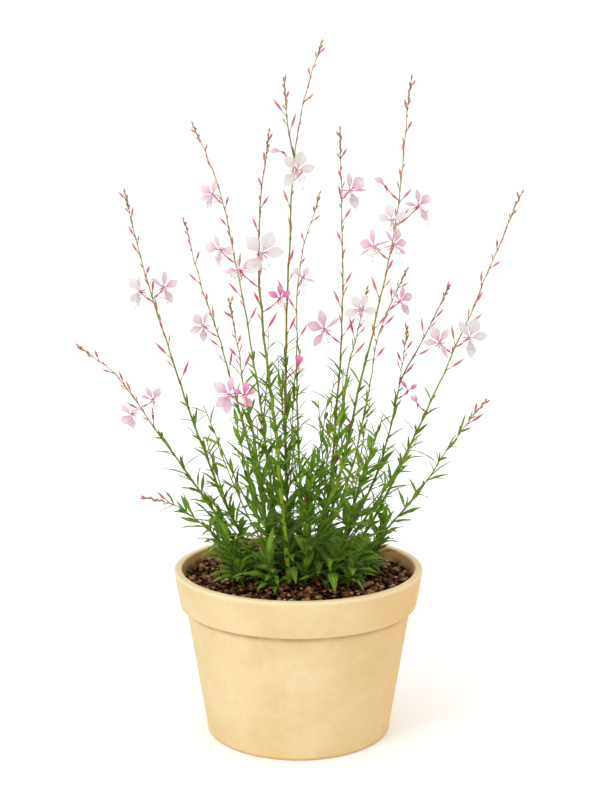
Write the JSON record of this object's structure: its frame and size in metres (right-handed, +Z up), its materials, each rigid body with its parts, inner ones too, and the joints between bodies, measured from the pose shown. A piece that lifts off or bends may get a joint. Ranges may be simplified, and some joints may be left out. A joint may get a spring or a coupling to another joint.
{
  "type": "potted gaura",
  "caption": "Gaura in a round collared pot of soil: thin arching leafy stems with slim buds and small clawed blooms.",
  "frame": {"origin": "centre of the pot's flat underside, on the surface it stands on", "axes": "+Z up, towards the tip of the tallest stem; -Y the front, seen in the picture; +X its right"},
  "size_m": [0.3991, 0.258, 0.6082],
  "materials": {
    "pot": "matte",
    "soil": "matte",
    "stem": "satin",
    "tuft": "satin",
    "petal_white": "matte",
    "petal_blush": "matte",
    "petal_rose": "matte",
    "petal_deep": "matte"
  },
  "bodies": {
    "root": {"pot": "pot", "soil": "soil", "stem_centre_tall": "stem", "stem_centre_right": "stem", "stem_front_bright": "stem", "stem_back_left": "stem", "stem_left": "stem", "stem_rear_left": "stem", "stem_far_left": "stem", "stem_right_tall": "stem", "stem_far_right": "stem", "stem_right_forked": "stem", "stem_right_low": "stem", "stem_back_right": "stem", "stem_back_centre": "stem", "stem_left_low": "stem", "stem_front_left": "stem", "stem_front_right": "stem", "shoot_front_left": "stem", "shoot_front_right": "stem", "shoot_front_middle": "stem", "shoot_rear": "stem", "tuft_left": "tuft", "tuft_front": "tuft", "tuft_right": "tuft", "tuft_far_right": "tuft", "tuft_far_left": "tuft", "tuft_rear": "tuft", "bloom_01": "petal_blush", "bloom_02": "petal_white", "bloom_03": "petal_blush", "bloom_04": "petal_rose", "bloom_05": "petal_white", "bloom_06": "petal_blush", "bloom_07": "petal_rose", "bloom_08": "petal_rose", "bloom_09": "petal_white", "bloom_10": "petal_deep", "bloom_11": "petal_blush", "bloom_12": "petal_blush", "bloom_13": "petal_rose", "bloom_14": "petal_white", "bloom_15": "petal_rose", "bloom_16": "petal_white", "bloom_17": "petal_rose", "bloom_18": "petal_rose", "bloom_19": "petal_blush", "bloom_20": "petal_white", "bloom_21": "petal_rose", "bloom_22": "petal_deep", "bloom_23": "petal_rose", "bloom_24": "petal_blush", "bloom_25": "petal_deep", "bloom_26": "petal_deep", "bloom_27": "petal_rose", "bloom_28": "petal_rose", "bloom_29": "petal_rose"}
  },
  "joints": []
}
